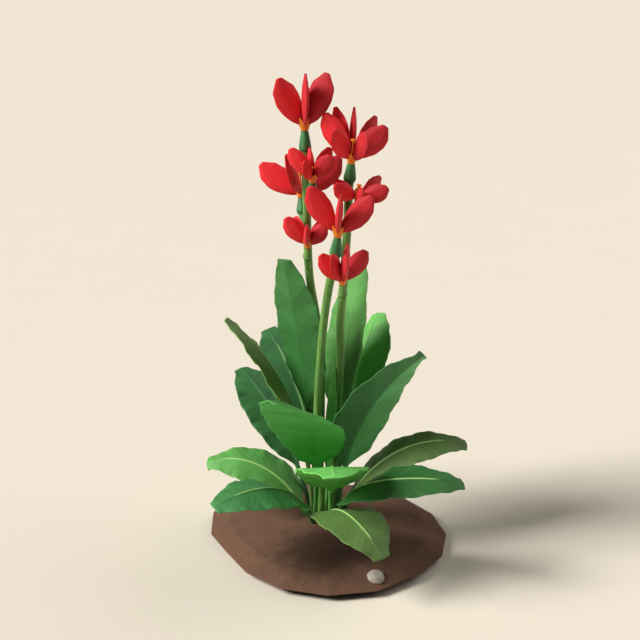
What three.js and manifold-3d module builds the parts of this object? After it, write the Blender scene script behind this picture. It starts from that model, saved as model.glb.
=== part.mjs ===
// A dwarf canna lily in flower: three flower stems with eight red blooms over a clump of broad
// leaves, standing in a low mound of soil with one pebble.
// Millimetres and degrees, +Z up. The origin is the middle of the mound's underside. An azimuth
// is measured in plan from +X towards +Y, and a rise is measured up from the horizontal.
import * as THREE from "three";
import { mergeVertices } from "three/addons/utils/BufferGeometryUtils.js";
import Module from "manifold-3d";

const wasm = await Module();
wasm.setup();

// ---- Driving dimensions ----
const GAP = 0.3; // clearance between touching pieces

// Soil: the rim's radius at equal steps of azimuth, then rings as [share of the rim, height].
const RIM_RADII = [200, 197, 194, 197, 202, 206, 212, 217, 198, 178, 185, 195, 201, 203, 199, 201];
const SOIL_RINGS = [
  [0.92, 0],
  [1, 11],
  [0.84, 27],
  [0.55, 37],
  [0.26, 43],
];
const CROWN = { x: -6, y: 8, radius: 25, floor: 14, soilTop: 45 };

const PEBBLE = { x: 73, y: -160, z: 19, size: [15.5, 15, 13.5], turn: 25 };

// Leaves.
const STALK_RADIUS = 3.9;
const STALK_RING = 20.5; // radius of the ring of stalks round the crown
// tip: half the width of a blade's end, as a share of the blade's width.
const BLADE = { thickness: 3, edge: 1.6, rib: 3.2, ribHeight: 1.8, tip: 0.15, fullness: 0.5 };
const BEND = 1.5; // a leaf bends mostly in its outer part
const RIPPLE = 1.6; // how far a blade's edge waves up and down

// slot: azimuth of the stalk in the ring; azimuth, rise: where the stalk points at its foot;
// arch: how far the rise falls by the tip; sweep: how far the azimuth turns by the tip;
// stalk, length, width: of stalk and blade; roll: of the blade about its midrib;
// fold: how far each half of the blade lifts; widest: where along the blade it is widest.
const LEAF_FIELDS = [
  "name", "slot", "azimuth", "rise", "arch", "sweep", "stalk", "length", "width", "roll", "fold", "widest",
];
const LEAVES = [
  ["leaf_tall_left", 118, 200.5, 86.1, 8.5, 6.7, 221.9, 257.5, 95.6, 27.1, 10.4, 0.5],
  ["leaf_tall_right", 53, 50.5, 86.7, 15.6, -4.6, 185.1, 276.3, 91.3, -8.4, 9.8, 0.48],
  ["leaf_back_left", 95.5, 129.8, 83.9, 53.2, -5.5, 150.9, 210.5, 92.9, -14.4, 1.4, 0.56],
  ["leaf_narrow_left", 165.5, 169.9, 89.3, 51.2, -0.4, 162.4, 245.6, 91.4, 7.9, -8.4, 0.5],
  ["leaf_mid_left", 143, 136.3, 71.6, 48.6, -3.9, 106.2, 204.6, 94.6, -6, -5.9, 0.56],
  ["leaf_front_left", 210.5, 281.3, 76.3, 55.6, -53.7, 146.6, 272.1, 119.5, 6.3, -13, 0.57],
  ["leaf_back_right", 30.5, 51.3, 86.1, 44.6, 11.5, 159.9, 222.4, 109.2, -27.8, -14.5, 0.57],
  ["leaf_mid_right", 345.5, 332.6, 86.7, 50.6, 30.9, 120, 246.2, 115, -42.9, 5.1, 0.48],
  ["leaf_low_left_upper", 188, 171.6, 70.1, 98.2, -3.5, 43.6, 198.3, 91.6, -21.5, -9.6, 0.37],
  ["leaf_low_left_lower", 233, 244.6, 62.9, 83.1, -34.5, 72.2, 230.3, 93.7, -10, -9.8, 0.55],
  ["leaf_front", 300.5, 269.1, 73, 71.8, 3.7, 111.2, 199.1, 114.7, 0.9, -2.1, 0.5],
  ["leaf_front_right", 255.5, 280.4, 56.9, 100.6, 29.9, 78.6, 201.2, 107.8, -3.1, -2.2, 0.5],
  ["leaf_low_right_upper", 8, 351.5, 72.4, 91.7, 15.5, 51.4, 248.3, 84.9, 14.6, -8.6, 0.47],
  ["leaf_low_right_lower", 323, 278.9, 61.9, 80.7, 97.9, 87.7, 259.5, 84.4, 16.5, -6.3, 0.46],
  ["leaf_young", 278, 0, 89.2, 4.2, 0, 115, 185, 16, -85, 4, 0.42],
].map((row) => Object.fromEntries(row.map((value, i) => [LEAF_FIELDS[i], value])));

// Flower stems: the points that each middle line passes up to its top bloom.
const STEM_RADIUS = { foot: 6.6, top: 6.7 };
// A branch leaves its stem `drop` under its bloom's ovary.
const BRANCH = { drop: 18, straight: 0.7, foot: 4.6, top: 5.6 };
const STEM_END = { below: 9, above: 3, cutRadius: 9, cutDepth: 10 };
const STEMS = {
  left: [[-13, 12, 0], [-14, 13, 120], [-12, 13, 249], [-14, 15, 336], [-20, 18, 393], [-30, 20, 456],
    [-33, 20, 510], [-34.5, 16, 590]],
  right: [[1.5, 12, 0], [8, 7, 110], [14, 1, 219], [19, -9, 328], [19, -15, 398], [23, -14, 455],
    [28, -12, 532], [30, -10.5, 580]],
  front: [[-6, -0.6, 0], [-13, -9.5, 110], [-18, -18, 230], [-13, -23, 332], [-6, -29, 412], [2, -38, 467]],
};
const BRACTS = [
  { stem: "left", height: 492, azimuth: 180, length: 14 },
  { stem: "right", height: 447, azimuth: 190, length: 24 },
];
const BRACT = { width: 0.26, lean: 14, sunk: 2.5 };

// Blooms. base: the foot of the throat; lean: [azimuth, angle] of the bloom's axis from upright;
// size: length of a petal; width: of a petal as a share of its length; splay: of the petals from
// the axis, less by half of `curl` at the foot and more at the tip; ovary: its size beside the
// largest; petals: each as [azimuth round the axis, share of the size]. The first bloom listed of
// a stem stands at its top.
const BLOOM_FIELDS = ["name", "stem", "base", "lean", "size", "width", "splay", "curl", "ovary", "petals"];
// Of every petal. tip, root, edge: half widths at its end, foot and thinnest; foot: the height it
// starts at; set: how far from the axis.
const PETAL = { thickness: 11, tip: 5.5, root: 2.4, edge: 1.6, foot: 9, set: 2, widest: 0.6, steps: 5 };
const BLOOMS = [
  ["bloom_1", "left", [-37.1, 18, 691.1], [101.4, 8.1], 81.7, 0.52, 26.1, 20.3, 1,
    [[-155, 0.99], [-84, 1.06], [-32, 1.07], [83, 0.94], [170, 0.91]]],
  ["bloom_2", "right", [33.9, -16, 648.1], [292.3, 11.7], 74.9, 0.52, 35.8, 20.4, 1,
    [[-136, 0.89], [-68, 0.92], [-14, 0.97], [46, 0.96], [91, 1.05], [126, 1.07], [157, 1.02]]],
  ["bloom_3", "left", [-25.4, -12, 617.9], [270, 16.9], 50.2, 0.56, 32, 14.9, 0.8,
    [[-115, 0.95], [-21, 1], [30, 1.02], [99, 0.87], [168, 1.09]]],
  ["bloom_4", "left", [-43.3, 46, 579.6], [100.7, 18.4], 78.6, 0.53, 48, 15.3, 0.8,
    [[-177, 0.98], [-107, 1.04], [0, 1.05], [98, 1.01], [140, 0.91]]],
  ["bloom_5", "right", [44, -29, 592], [334.3, 4.7], 50.5, 0.6, 59.9, 39.6, 0.8,
    [[-147, 0.93], [-84, 0.84], [-26, 0.98], [48, 1.07], [160, 0.81]]],
  ["bloom_6", "front", [13.1, -53, 541.1], [334.1, 6.5], 79.1, 0.45, 34, 17.8, 1,
    [[-170, 1.05], [-95, 1.09], [-30, 1.03], [92, 0.7]]],
  ["bloom_7", "left", [-32.9, -4, 511.8], [278.7, 10], 49.1, 0.57, 34.9, 10.9, 0.6,
    [[-177, 1.1], [-94, 1.08], [-28, 0.97], [31, 0.89], [135, 0.92]]],
  ["bloom_8", "right", [20.8, -62, 468.5], [171.4, 0.7], 57.4, 0.54, 35.3, 12.2, 0.6,
    [[-160, 0.95], [-116, 1.04], [-82, 1.06], [5, 0.99], [75, 1.02]]],
].map((row) => Object.fromEntries(row.map((value, i) => [BLOOM_FIELDS[i], value])));
// The ovary as [radius, depth under the throat], and the throat as radii and heights.
const OVARY = [[5.8, 0], [7.2, 8], [9.9, 25], [9.1, 29], [6.2, 32]];
const THROAT = { foot: 5.5, rim: 12.5, wall: 1.2, floor: 3.5, valley: 9, tooth: 21 };
const HUB = { height: 11, foot: 3.4, belly: 5, shoulder: 4 };
const STAMEN = { radius: 1, flare: 4.2, flareLength: 8, dome: 1.5, reach: 0.5, sides: 5 };
const ROUND_SIDES = 8; // of hubs, ovaries and the cuts under them

const COLOURS = {
  soil: 0x6d5040,
  pebble: 0x9c948a,
  leaf: 0x3f7838,
  stem: 0x4f8038,
  ovary: 0x3f7545,
  petal: 0xc8282e,
  throat: 0xe07b20,
};

// ---- Small helpers ----
const rad = THREE.MathUtils.degToRad;
const { clamp, lerp } = THREE.MathUtils;
const at = ([x, y, z]) => new THREE.Vector3(x, y, z);

// The unit vector of an azimuth and a rise.
function heading(azimuth, rise) {
  const [a, e] = [rad(azimuth), rad(rise)];
  return new THREE.Vector3(Math.cos(e) * Math.cos(a), Math.cos(e) * Math.sin(a), Math.sin(e));
}

// Half a width that swells from 0 to 1 and back, largest at the share `widest` of the way.
function swell(v, widest, power) {
  const bent = clamp(v, 0, 1) ** (Math.log(0.5) / Math.log(widest));
  return Math.sin(Math.PI * bent) ** power;
}

// A closed mesh through rings of points that run anticlockwise as seen from the far end. From
// the ring point `under` on, the four-sided faces are split the other way, so that both faces of
// a blade are split alike.
function loft(rings, under = Infinity) {
  const count = rings[0].length;
  const points = rings.flat();
  const middle = (ring) =>
    ring.reduce((sum, p) => sum.add(p), new THREE.Vector3()).divideScalar(count);
  points.push(middle(rings[0]), middle(rings.at(-1)));
  const [foot, top, last] = [points.length - 2, points.length - 1, (rings.length - 1) * count];
  const index = [];
  for (let k = 0; k < count; k++) {
    const n = (k + 1) % count;
    for (let i = 0; i < last; i += count) {
      const [a, b, c, d] = [i + k, i + n, i + count + n, i + count + k];
      index.push(...(k < under ? [a, b, c, a, c, d] : [a, b, d, b, c, d]));
    }
    index.push(foot, n, k, top, last + k, last + n);
  }
  return new THREE.BufferGeometry().setFromPoints(points).setIndex(index);
}

function solid(geometry) {
  const bare = new THREE.BufferGeometry().setAttribute("position", geometry.getAttribute("position"));
  bare.setIndex(geometry.index);
  const merged = mergeVertices(bare, 1e-4);
  return new wasm.Manifold(
    new wasm.Mesh({
      numProp: 3,
      vertProperties: merged.attributes.position.array,
      triVerts: new Uint32Array(merged.index.array),
    }),
  );
}

function geometryOf(body) {
  const { vertProperties, triVerts } = body.getMesh();
  return new THREE.BufferGeometry()
    .setAttribute("position", new THREE.BufferAttribute(vertProperties, 3))
    .setIndex(new THREE.BufferAttribute(triVerts, 1));
}

const join = (geometries) => geometries.map(solid).reduce((all, one) => all.add(one));

// A tapered tube along a curve.
function tube(curve, steps, sides, radiusAt) {
  const frames = curve.computeFrenetFrames(steps, false);
  const rings = Array.from({ length: steps + 1 }, (_, i) => {
    const centre = curve.getPointAt(i / steps);
    return Array.from({ length: sides }, (_, k) => {
      const angle = (2 * Math.PI * k) / sides;
      return centre
        .clone()
        .addScaledVector(frames.normals[i], radiusAt(i / steps) * Math.cos(angle))
        .addScaledVector(frames.binormals[i], radiusAt(i / steps) * Math.sin(angle));
    });
  });
  return loft(rings);
}

const parts = new THREE.Group();
function addPart(name, geometry, colour, roughness, parent = parts) {
  const material = new THREE.MeshStandardMaterial({ color: colour, roughness, metalness: 0 });
  const mesh = new THREE.Mesh(geometry, material);
  mesh.name = name;
  parent.add(mesh);
}

// ---- Leaves ----
// A leaf's middle line: its point, heading, sideways and upward directions at a length along it.
function midrib(leaf) {
  const total = leaf.stalk + leaf.length;
  const headingAt = (share) =>
    heading(leaf.azimuth + leaf.sweep * share ** BEND, leaf.rise - leaf.arch * share ** BEND);
  const ring = heading(leaf.slot, 0).multiplyScalar(STALK_RING);
  const lift = STALK_RADIUS * Math.abs(Math.cos(rad(leaf.rise)));
  const steps = 60;
  const points = [new THREE.Vector3(CROWN.x, CROWN.y, CROWN.floor + GAP + lift).add(ring)];
  for (let i = 0; i < steps; i++)
    points.push(points[i].clone().addScaledVector(headingAt((i + 0.5) / steps), total / steps));
  return (length) => {
    const place = clamp((length / total) * steps, 0, steps - 1e-6);
    const i = Math.floor(place);
    const along = headingAt(length / total);
    const azimuth = leaf.azimuth + leaf.sweep * (length / total) ** BEND;
    const level = heading(azimuth + 90, 0);
    const upper = along.clone().cross(level);
    const turn = rad(leaf.roll);
    return {
      point: points[i].clone().lerp(points[i + 1], place - i),
      across: level.clone().multiplyScalar(Math.cos(turn)).addScaledVector(upper, Math.sin(turn)),
      up: upper.clone().multiplyScalar(Math.cos(turn)).addScaledVector(level, -Math.sin(turn)),
    };
  };
}

// The section of a blade of half width w, as points [across, up] round it: five on the upper
// face with the raised midrib, then three on the lower face.
function bladeSection(w, spare) {
  const { rib, ribHeight } = BLADE;
  const half = Math.min(rib, 0.4 * w) + spare;
  const [side, rim, face] = [w + spare, BLADE.edge / 2 + spare, BLADE.thickness / 2 + spare];
  return [
    [side, rim],
    [half, face],
    [0, face + ribHeight],
    [-half, face],
    [-side, rim],
    [-side, -rim],
    [0, -face],
    [side, -rim],
  ];
}

// A round section whose points answer those of the blade's section.
const ROUND_SECTION = [20, 58, 90, 122, 160, 215, 270, 325].map((angle) => {
  const turn = rad(angle);
  return [Math.cos(turn), Math.sin(turn)];
});
const LOWER_FACE = 5; // where the lower face starts in both sections
const BLADE_STATIONS = [0, 0.06, 0.15, 0.27, 0.4, 0.53, 0.66, 0.79, 0.9, 0.97, 1];
const STALK_STATIONS = [0, 0.35, 0.7];
const FLAT_FROM = 0.15; // the share of the blade by which the round stalk has turned flat

// The rings of a leaf from its foot to its tip, grown by `spare`.
function leafRings(leaf, index, spare = 0) {
  const line = midrib(leaf);
  const radius = STALK_RADIUS + spare;
  const stalkRings = STALK_STATIONS.map((share) => {
    const { point, across, up } = line(share * leaf.stalk);
    return ROUND_SECTION.map(([x, y]) =>
      point.clone().addScaledVector(across, x * radius).addScaledVector(up, y * radius),
    );
  });
  const bladeRings = BLADE_STATIONS.map((v) => {
    const { point, across, up } = line(leaf.stalk + v * leaf.length);
    const swollen = (leaf.width / 2) * swell(v, leaf.widest, BLADE.fullness);
    const w = Math.max(swollen, v > 0.5 ? BLADE.tip * leaf.width : STALK_RADIUS);
    const flat = clamp(v / FLAT_FROM, 0, 1);
    const wave = RIPPLE * Math.sin(9 * Math.PI * v + index) * flat;
    const fold = rad(leaf.fold);
    return bladeSection(w, spare).map(([x, y], k) => {
      const [roundX, roundY] = ROUND_SECTION[k].map((c) => c * radius);
      const raised = y + Math.abs(x) * Math.sin(fold) + wave * (x / w) ** 2 * Math.sign(x);
      return point
        .clone()
        .addScaledVector(across, lerp(roundX, x * Math.cos(fold), flat))
        .addScaledVector(up, lerp(roundY, raised, flat));
    });
  });
  return [...stalkRings, ...bladeRings];
}

const leafGeometry = (leaf, index) => loft(leafRings(leaf, index), LOWER_FACE);
const leafHole = (leaf, index) => solid(loft(leafRings(leaf, index, GAP).slice(0, 6), LOWER_FACE));

LEAVES.forEach((leaf, index) => addPart(leaf.name, leafGeometry(leaf, index), COLOURS.leaf, 0.55));

// ---- Blooms ----
// A smaller bloom has a smaller throat.
const throatScale = (bloom) => Math.sqrt(bloom.ovary);
const bloomAxis = ({ lean: [azimuth, angle] }) => heading(azimuth, 90 - angle);
const ovaryLength = (bloom) => OVARY.at(-1)[1] * bloom.ovary;

const PETAL_SECTION = [[1, 0], [0.45, 1], [-0.45, 1], [-1, 0], [-0.45, -1], [0.45, -1]];

// One petal, a thick blade that stands on edge and runs outward in its own upright plane. Of its
// rings only the first `count` are made.
function petalGeometry(bloom, [azimuth, sizeShare], spare = 0, count = PETAL.steps + 1) {
  const size = bloom.size * sizeShare;
  const outward = heading(azimuth, 0);
  const sideways = heading(azimuth + 90, 0);
  const slope = (share) => 90 - bloom.splay - bloom.curl * (0.5 - share);
  const point = outward.clone().multiplyScalar(PETAL.set).setZ(PETAL.foot * throatScale(bloom));
  const rings = [];
  for (let i = 0; i < count; i++) {
    const share = i / PETAL.steps;
    const along = heading(azimuth, slope(share));
    const out = outward.clone().multiplyScalar(Math.sin(rad(slope(share))));
    out.z = -Math.cos(rad(slope(share)));
    const least = share < 0.5 ? PETAL.root : PETAL.tip;
    const wide = Math.max(((size * bloom.width) / 2) * swell(share, PETAL.widest, 0.5), least) + spare;
    const thick = Math.max((PETAL.thickness / 2) * swell(share, 0.5, 0.6), PETAL.edge) + spare;
    rings.push(
      PETAL_SECTION.map(([x, y]) =>
        point.clone().addScaledVector(out, x * wide).addScaledVector(sideways, y * thick),
      ),
    );
    point.addScaledVector(along, size / PETAL.steps);
  }
  return loft(rings);
}

// A turned solid from a profile of [radius, height] points that starts and ends on the axis.
function turned(profile, sides) {
  const points = profile.map(([r, z]) => new THREE.Vector2(r, z));
  return new THREE.LatheGeometry(points, sides).rotateX(Math.PI / 2);
}

// The red hub that the petals grow from.
function hubGeometry(bloom, spare = 0) {
  const scale = throatScale(bloom);
  const foot = THROAT.floor + GAP;
  const top = foot + HUB.height * scale;
  const profile = [
    [0, foot - spare],
    [HUB.foot * scale + spare, foot - spare],
    [HUB.belly * scale + spare, top - HUB.shoulder],
    [HUB.foot + spare, top],
    [0, top],
  ];
  return turned(profile, ROUND_SIDES);
}

function stamenGeometry(bloom, spare = 0) {
  const foot = THROAT.floor - 1;
  const top = bloom.size * STAMEN.reach;
  const rod = STAMEN.radius + spare;
  const profile = [
    [0, foot],
    [rod, foot],
    [rod, top - STAMEN.flareLength],
    [STAMEN.flare + spare, top],
    [0, top + STAMEN.dome + spare],
  ];
  return turned(profile, STAMEN.sides);
}

// The orange cup, with a valley under each petal and a pointed tooth between two of them.
function cupGeometry(bloom) {
  const scale = throatScale(bloom);
  const turns = bloom.petals.map(([azimuth]) => azimuth).sort((a, b) => a - b);
  const corners = turns.flatMap((turn, i) => {
    const next = i + 1 < turns.length ? turns[i + 1] : turns[0] + 360;
    return [[turn, THROAT.valley * scale], [(turn + next) / 2, THROAT.tooth * scale]];
  });
  const slope = (THROAT.rim - THROAT.foot) / THROAT.tooth;
  const ring = (heightOf, inset) =>
    corners.map(([turn, top]) => {
      const z = heightOf(top);
      return heading(turn, 0).multiplyScalar(THROAT.foot * scale + slope * z - inset).setZ(z);
    });
  return loft([
    ring(() => GAP, 0),
    ring((top) => top, 0),
    ring((top) => top, THROAT.wall),
    ring(() => THROAT.floor, THROAT.wall),
  ]);
}

function ovaryGeometry(bloom) {
  const rings = OVARY.map(([r, depth]) => [r * throatScale(bloom), -depth * bloom.ovary]).toReversed();
  return turned([[0, rings[0][1]], ...rings, [0, 0]], ROUND_SIDES);
}

// The largest of the bodies that a cut leaves.
function largest(body) {
  const bodies = body.decompose();
  return bodies.reduce((best, one) => (one.volume() > best.volume() ? one : best));
}

const UP = new THREE.Vector3(0, 0, 1);
for (const bloom of BLOOMS) {
  const holder = new THREE.Group();
  holder.position.copy(at(bloom.base));
  holder.quaternion.setFromUnitVectors(UP, bloomAxis(bloom));
  const petals = bloom.petals.map((petal) => petalGeometry(bloom, petal));
  const roots = bloom.petals.map((petal) => petalGeometry(bloom, petal, GAP, 3));
  const red = join([hubGeometry(bloom), ...petals]).subtract(solid(stamenGeometry(bloom, GAP)));
  const cup = solid(cupGeometry(bloom)).subtract(join([hubGeometry(bloom, GAP), ...roots]));
  const orange = largest(cup).add(solid(stamenGeometry(bloom)));
  addPart(bloom.name + "_petals", geometryOf(red), COLOURS.petal, 0.5, holder);
  addPart(bloom.name + "_throat", geometryOf(orange), COLOURS.throat, 0.5, holder);
  addPart(bloom.name + "_ovary", ovaryGeometry(bloom), COLOURS.ovary, 0.6, holder);
  parts.add(holder);
}

// ---- Flower stems ----
// Where a bloom's ovary stands on its stem: its foot, and points a little below and above it.
function ovaryFoot(bloom) {
  const axis = bloomAxis(bloom);
  const foot = at(bloom.base).addScaledVector(axis, -ovaryLength(bloom) - GAP);
  const along = (distance) => foot.clone().addScaledVector(axis, distance);
  return { foot, below: along(-STEM_END.below), above: along(STEM_END.above) };
}

// What squares the end of a stem off under an ovary.
function endCut(bloom) {
  const { cutRadius, cutDepth } = STEM_END;
  const cutter = new THREE.CylinderGeometry(cutRadius, cutRadius, cutDepth, ROUND_SIDES);
  cutter.rotateX(Math.PI / 2).translate(0, 0, cutDepth / 2);
  cutter.applyQuaternion(new THREE.Quaternion().setFromUnitVectors(UP, bloomAxis(bloom)));
  return solid(cutter.translate(...ovaryFoot(bloom).foot));
}

function branchGeometry(bloom, onStem) {
  const end = ovaryFoot(bloom);
  const start = onStem(end.foot.z - BRANCH.drop);
  const bend = start.clone().lerp(end.below, BRANCH.straight);
  const branch = new THREE.CatmullRomCurve3([start, bend, end.foot, end.above]);
  return tube(branch, 5, 6, (share) => lerp(BRANCH.foot, BRANCH.top, share));
}

function bractGeometry({ height, azimuth, length }, onStem) {
  const bract = new THREE.ConeGeometry(length * BRACT.width, length, 4).rotateX(Math.PI / 2);
  bract.translate(0, 0, -length / 2).rotateY(rad(BRACT.lean)).rotateZ(rad(azimuth));
  const side = heading(azimuth, 0).multiplyScalar(STEM_RADIUS.top - BRACT.sunk);
  return bract.translate(...onStem(height).add(side));
}

function stemGeometry(name) {
  const [topBloom, ...others] = BLOOMS.filter((bloom) => bloom.stem === name);
  const { below, above } = ovaryFoot(topBloom);
  const points = STEMS[name].map(at);
  points[0].z = CROWN.floor + 3 * GAP;
  const line = new THREE.CatmullRomCurve3([...points, below, above]);
  const samples = line.getSpacedPoints(300);
  const nearer = (height) => (best, p) =>
    Math.abs(p.z - height) < Math.abs(best.z - height) ? p : best;
  const onStem = (height) => samples.reduce(nearer(height)).clone();
  const stem = tube(line, 16, 7, (share) => lerp(STEM_RADIUS.foot, STEM_RADIUS.top, share));
  const branches = others.map((bloom) => branchGeometry(bloom, onStem));
  const bracts = BRACTS.filter((bract) => bract.stem === name).map((bract) => bractGeometry(bract, onStem));
  const ends = [topBloom, ...others].map(endCut).reduce((all, one) => all.add(one));
  return geometryOf(largest(join([stem, ...branches, ...bracts]).subtract(ends)));
}

for (const name of Object.keys(STEMS))
  addPart("flower_stem_" + name, stemGeometry(name), COLOURS.stem, 0.55);

// ---- Soil and pebble ----
function pebbleGeometry(spare = 0) {
  const stone = new THREE.IcosahedronGeometry(1, 1);
  const position = stone.getAttribute("position");
  for (let i = 0; i < position.count; i++) {
    const p = new THREE.Vector3().fromBufferAttribute(position, i);
    const bump = 1 + 0.09 * Math.sin(3 * p.x + 5 * p.y) + 0.07 * Math.cos(4 * p.z + 2 * p.x);
    position.setXYZ(i, ...p.multiplyScalar(bump));
  }
  const [a, b, c] = PEBBLE.size.map((side) => side + spare);
  stone.deleteAttribute("uv");
  stone.deleteAttribute("normal");
  stone.scale(a, b, c).rotateZ(rad(PEBBLE.turn)).translate(PEBBLE.x, PEBBLE.y, PEBBLE.z);
  return mergeVertices(stone, 1e-3);
}

function soilGeometry() {
  const step = 360 / RIM_RADII.length;
  const rings = SOIL_RINGS.map(([share, height]) =>
    RIM_RADII.map((radius, i) => heading(i * step, 0).multiplyScalar(radius * share).setZ(height)),
  );
  const depth = CROWN.soilTop - CROWN.floor + 20;
  const pit = new THREE.CylinderGeometry(CROWN.radius, CROWN.radius, depth, 20).rotateX(Math.PI / 2);
  pit.translate(CROWN.x, CROWN.y, CROWN.floor + depth / 2);
  const holes = LEAVES.map(leafHole).reduce((all, one) => all.add(one), solid(pit));
  return geometryOf(solid(loft(rings)).subtract(holes).subtract(solid(pebbleGeometry(GAP))));
}

addPart("soil_mound", soilGeometry(), COLOURS.soil, 0.95);
addPart("pebble", pebbleGeometry(), COLOURS.pebble, 0.8);

export default parts;
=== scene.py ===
"""A dwarf canna lily in flower: veined leaves, red fin-petalled blooms and stems in a mound of soil.

Metres and degrees, +Z up. The origin is the middle of the mound's underside.
"""

import math

import bmesh
import bpy
import numpy as np
from mathutils import Matrix, Vector, noise


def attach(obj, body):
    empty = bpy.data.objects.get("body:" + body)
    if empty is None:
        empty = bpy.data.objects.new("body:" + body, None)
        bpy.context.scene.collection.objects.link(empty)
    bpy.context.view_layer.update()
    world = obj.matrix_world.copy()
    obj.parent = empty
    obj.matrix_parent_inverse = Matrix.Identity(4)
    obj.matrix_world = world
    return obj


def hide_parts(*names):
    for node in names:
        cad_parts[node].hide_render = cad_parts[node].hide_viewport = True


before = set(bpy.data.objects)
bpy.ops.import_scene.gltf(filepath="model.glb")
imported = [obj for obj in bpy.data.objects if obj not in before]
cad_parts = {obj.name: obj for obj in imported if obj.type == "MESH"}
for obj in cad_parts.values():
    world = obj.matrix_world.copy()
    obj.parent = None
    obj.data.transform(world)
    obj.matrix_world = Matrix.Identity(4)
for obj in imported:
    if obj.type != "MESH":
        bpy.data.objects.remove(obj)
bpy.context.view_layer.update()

bl_info = {
    "name": "Canna lily",
    "version": (1, 0, 0),
    "blender": (4, 5, 0),
    "location": "3D View > Sidebar > Canna",
    "description": "Dresses the plain solids of a dwarf canna lily with veined leaves, blooms and soil",
    "category": "Object",
}

# ---- Measures shared with the plain solids ----
GAP = 0.0003
RIM_RADII = [0.2, 0.197, 0.194, 0.197, 0.202, 0.206, 0.212, 0.217,
             0.198, 0.178, 0.185, 0.195, 0.201, 0.203, 0.199, 0.201]
SOIL_RINGS = [(0, 0), (0.92, 0), (1, 0.011), (0.84, 0.027), (0.55, 0.037), (0.26, 0.043), (0, 0.0452)]
CROWN = {"x": -0.006, "y": 0.008, "floor": 0.014}
PEBBLE_PLACE = (0.073, -0.16)

STALK_RADIUS = 0.0039
STALK_RING = 0.0205
BLADE = {"edge": 0.0016, "rib": 0.0032, "tip": 0.15, "fullness": 0.5}
BEND = 1.5
FLAT_FROM = 0.15
BLADE_STATIONS = [0, 0.06, 0.15, 0.27, 0.4, 0.53, 0.66, 0.79, 0.9, 0.97, 1]
LEAF_FIELDS = ("name", "slot", "azimuth", "rise", "arch", "sweep", "stalk", "length", "width", "roll",
               "fold", "widest")
LEAVES = [dict(zip(LEAF_FIELDS, row)) for row in (
    ("leaf_tall_left", 118, 200.5, 86.1, 8.5, 6.7, 0.2219, 0.2575, 0.0956, 27.1, 10.4, 0.5),
    ("leaf_tall_right", 53, 50.5, 86.7, 15.6, -4.6, 0.1851, 0.2763, 0.0913, -8.4, 9.8, 0.48),
    ("leaf_back_left", 95.5, 129.8, 83.9, 53.2, -5.5, 0.1509, 0.2105, 0.0929, -14.4, 1.4, 0.56),
    ("leaf_narrow_left", 165.5, 169.9, 89.3, 51.2, -0.4, 0.1624, 0.2456, 0.0914, 7.9, -8.4, 0.5),
    ("leaf_mid_left", 143, 136.3, 71.6, 48.6, -3.9, 0.1062, 0.2046, 0.0946, -6, -5.9, 0.56),
    ("leaf_front_left", 210.5, 281.3, 76.3, 55.6, -53.7, 0.1466, 0.2721, 0.1195, 6.3, -13, 0.57),
    ("leaf_back_right", 30.5, 51.3, 86.1, 44.6, 11.5, 0.1599, 0.2224, 0.1092, -27.8, -14.5, 0.57),
    ("leaf_mid_right", 345.5, 332.6, 86.7, 50.6, 30.9, 0.12, 0.2462, 0.115, -42.9, 5.1, 0.48),
    ("leaf_low_left_upper", 188, 171.6, 70.1, 98.2, -3.5, 0.0436, 0.1983, 0.0916, -21.5, -9.6, 0.37),
    ("leaf_low_left_lower", 233, 244.6, 62.9, 83.1, -34.5, 0.0722, 0.2303, 0.0937, -10, -9.8, 0.55),
    ("leaf_front", 300.5, 269.1, 73, 71.8, 3.7, 0.1112, 0.1991, 0.1147, 0.9, -2.1, 0.5),
    ("leaf_front_right", 255.5, 280.4, 56.9, 100.6, 29.9, 0.0786, 0.2012, 0.1078, -3.1, -2.2, 0.5),
    ("leaf_low_right_upper", 8, 351.5, 72.4, 91.7, 15.5, 0.0514, 0.2483, 0.0849, 14.6, -8.6, 0.47),
    ("leaf_low_right_lower", 323, 278.9, 61.9, 80.7, 97.9, 0.0877, 0.2595, 0.0844, 16.5, -6.3, 0.46),
    ("leaf_young", 278, 0, 89.2, 4.2, 0, 0.115, 0.185, 0.016, -85, 4, 0.42),
)]

# Each leaf's green, how light that green is, how bold its midrib is, and how light its right half is. The
# lightness is partly the leaf's own tone and partly painted light and shade matched to how light falls on
# each leaf; the lighter right half is painted light.
LEAF_LOOKS = {
    "leaf_tall_left": ("deep", 0.58, 0.0, 1.0), "leaf_tall_right": ("bright", 0.92, 0.0, 1.0),
    "leaf_back_left": ("blue", 0.9, 0.5, 1.0), "leaf_narrow_left": ("olive", 1.7, 0.25, 1.0),
    "leaf_mid_left": ("blue", 0.88, 0.0, 1.0), "leaf_front_left": ("deep", 1.2, 0.0, 1.0),
    "leaf_back_right": ("bright", 1.05, 0.5, 1.0), "leaf_mid_right": ("blue", 0.88, 0.0, 2.1),
    "leaf_low_left_upper": ("bright", 1.0, 1.0, 1.0), "leaf_low_left_lower": ("blue", 1.28, 1.0, 1.0),
    "leaf_front": ("bright", 1.4, 0.0, 1.0), "leaf_front_right": ("olive", 1.12, 1.0, 1.0),
    "leaf_low_right_upper": ("olive", 1.0, 1.0, 1.0), "leaf_low_right_lower": ("deep", 0.57, 1.0, 1.0),
    "leaf_young": ("bright", 1.1, 0.0, 1.0),
}

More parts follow.
